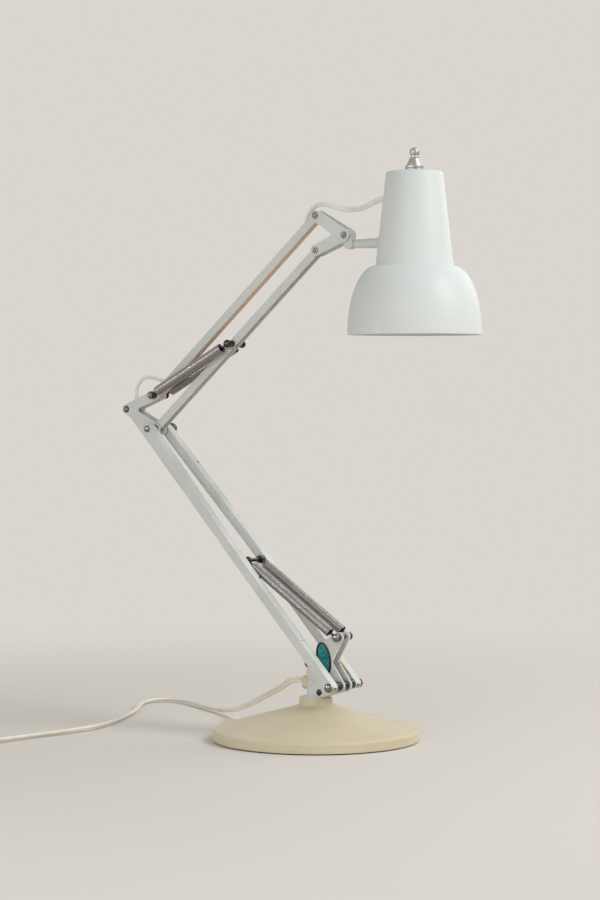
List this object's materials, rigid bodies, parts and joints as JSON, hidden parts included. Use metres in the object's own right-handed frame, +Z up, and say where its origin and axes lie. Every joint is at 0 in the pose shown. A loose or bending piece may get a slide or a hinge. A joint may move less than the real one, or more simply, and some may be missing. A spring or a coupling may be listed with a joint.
{
  "type": "task lamp",
  "caption": "Spring-balanced desk lamp: round weighted base, parallel-link arms with tension springs, and a bell shade that tilts, fed by a flat flex.",
  "frame": {"origin": "centre of the base's underside, on the surface it stands on", "axes": "+Z up along the swivel, +X towards the shade in the plane of the arms, +Y across the arms"},
  "size_m": [0.511, 0.409, 0.5695],
  "materials": {
    "cover_paint": "satin ivory paint on pressed steel",
    "arm_paint": "semi-gloss white paint on folded steel",
    "shade_paint": "gloss white paint inside and out",
    "iron": "rough grey casting",
    "pad": "matt dark foot pad",
    "steel": "turned steel",
    "spring_steel": "bright close-wound wire",
    "dark_steel": "blackened bolts and nuts",
    "chrome": "bright plating",
    "badge": "blank teal enamel with a black border",
    "flex": "ivory flat twin flex and mouldings",
    "holder": "black moulded lamp holder",
    "bulb": "frosted glass",
    "bulb_metal": "pressed screw cap",
    "plug_brass": "plated blades"
  },
  "bodies": {
    "base": {"base_cover": "cover_paint", "base_weight": "iron", "base_pad": "pad", "post_socket": "steel"},
    "swivel": {"swivel_spigot": "steel", "swivel_washer": "steel", "base_bracket": "arm_paint", "bracket_rivets": "steel", "oval_badge": "badge", "cord_grommet": "flex", "base_pivot_bolt": "dark_steel", "base_pivot_nut": "dark_steel", "base_pivot_spacers": "dark_steel", "lower_spring_post": "dark_steel", "lower_link_pin": "steel", "mains_cord": "flex", "mains_coil": "flex", "coil_tie": "flex", "mains_plug": "flex", "plug_blades": "plug_brass"},
    "lower_arm": {"lower_bar_front": "arm_paint", "lower_bar_rear": "arm_paint", "lower_spring_pin": "dark_steel"},
    "lower_tie": {"lower_link": "arm_paint", "lower_lead": "flex"},
    "lower_springs": {"lower_spring_coils": "spring_steel", "lower_spring_hooks": "spring_steel"},
    "lower_spring_ends": {"lower_spring_eyes": "spring_steel"},
    "elbow": {"elbow_plates": "arm_paint", "elbow_corner_pin": "dark_steel", "upper_spring_post": "dark_steel", "elbow_cord_loop": "flex", "elbow_bolt": "dark_steel", "elbow_nut": "dark_steel", "elbow_spacers": "dark_steel"},
    "upper_arm": {"main_bar": "arm_paint", "upper_spring_pin": "dark_steel"},
    "upper_tie": {"tie_bar": "arm_paint", "upper_lead": "flex"},
    "upper_springs": {"upper_spring_coils": "spring_steel", "upper_spring_hooks": "spring_steel"},
    "upper_spring_ends": {"upper_spring_eyes": "spring_steel"},
    "head_bracket": {"head_plates": "arm_paint", "head_main_bolt": "dark_steel", "head_tie_bolt": "dark_steel", "tilt_bolt": "dark_steel", "head_cord_loop": "flex"},
    "head": {"tilt_knuckle": "arm_paint", "shade_stem": "arm_paint", "stem_flange": "arm_paint", "stem_nut": "steel", "shade": "shade_paint", "lamp_holder": "holder", "bulb_glass": "bulb", "bulb_cap": "bulb_metal", "neck_grommet": "flex", "switch_bushing": "chrome", "switch_nut": "chrome"},
    "switch": {"switch_knob": "chrome"}
  },
  "joints": [
    {"name": "swivel_turn", "type": "hinge", "parent": "base", "child": "swivel", "pos_m": [0, 0, 0.0432], "axis": [0, 0, 1], "range_deg": [-150, 150]},
    {"name": "lower_arm_swing", "type": "hinge", "parent": "swivel", "child": "lower_arm", "pos_m": [0.0314, 0, 0.055], "axis": [0, 1, 0], "range_deg": [-8, 44], "deforming": ["lower_spring_coils", "lower_spring_eyes", "elbow_cord_loop"]},
    {"name": "lower_tie_swing", "type": "hinge", "parent": "swivel", "child": "lower_tie", "pos_m": [-0.0046, 0, 0.0746], "axis": [0, 1, 0], "range_deg": [-8, 44]},
    {"name": "elbow_level", "type": "hinge", "parent": "lower_arm", "child": "elbow", "pos_m": [-0.19201, 0, 0.30018], "axis": [0, 1, 0], "range_deg": [-44, 8]},
    {"name": "upper_arm_swing", "type": "hinge", "parent": "elbow", "child": "upper_arm", "pos_m": [-0.19201, 0, 0.30018], "axis": [0, 1, 0], "range_deg": [-24, 42], "deforming": ["upper_spring_coils", "upper_spring_eyes", "head_cord_loop"]},
    {"name": "upper_tie_swing", "type": "hinge", "parent": "elbow", "child": "upper_tie", "pos_m": [-0.19201, 0, 0.33418], "axis": [0, 1, 0], "range_deg": [-24, 42]},
    {"name": "head_level", "type": "hinge", "parent": "upper_tie", "child": "head_bracket", "pos_m": [0.00301, 0, 0.50892], "axis": [0, 1, 0], "range_deg": [-42, 24]},
    {"name": "head_tilt", "type": "hinge", "parent": "head_bracket", "child": "head", "pos_m": [0.03601, 0, 0.48872], "axis": [0, 1, 0], "range_deg": [-45, 30]},
    {"name": "switch_turn", "type": "hinge", "parent": "head", "child": "switch", "pos_m": [0.112, 0, 0.5591], "axis": [0, 0, 1], "continuous": true},
    {"name": "lower_spring_turn", "type": "hinge", "parent": "swivel", "child": "lower_springs", "pos_m": [0.0306, 0, 0.1018], "axis": [0, 1, 0], "range_deg": [-11.1, 58.8]},
    {"name": "lower_spring_stretch", "type": "slide", "parent": "lower_springs", "child": "lower_spring_ends", "axis": [-0.8295, 0, 0.5585], "range_m": [-0.0198, 0.0041]},
    {"name": "upper_spring_turn", "type": "hinge", "parent": "elbow", "child": "upper_springs", "pos_m": [-0.19201, 0, 0.33418], "axis": [0, 1, 0], "range_deg": [-26.46, 45.93]},
    {"name": "upper_spring_stretch", "type": "slide", "parent": "upper_springs", "child": "upper_spring_ends", "axis": [0.8805, 0, 0.474], "range_m": [-0.0138, 0.0238]}
  ],
  "couplings": [
    {"joint": "lower_tie_swing", "follows": "lower_arm_swing", "ratio": 1},
    {"joint": "elbow_level", "follows": "lower_arm_swing", "ratio": -1},
    {"joint": "lower_spring_turn", "follows": "lower_arm_swing", "ratio": 1.3249},
    {"joint": "lower_spring_stretch", "follows": "lower_arm_swing", "m_per_rad": -0.02511},
    {"joint": "upper_tie_swing", "follows": "upper_arm_swing", "ratio": 1},
    {"joint": "head_level", "follows": "upper_arm_swing", "ratio": -1},
    {"joint": "upper_spring_turn", "follows": "upper_arm_swing", "ratio": 1.0816},
    {"joint": "upper_spring_stretch", "follows": "upper_arm_swing", "m_per_rad": 0.03171}
  ]
}
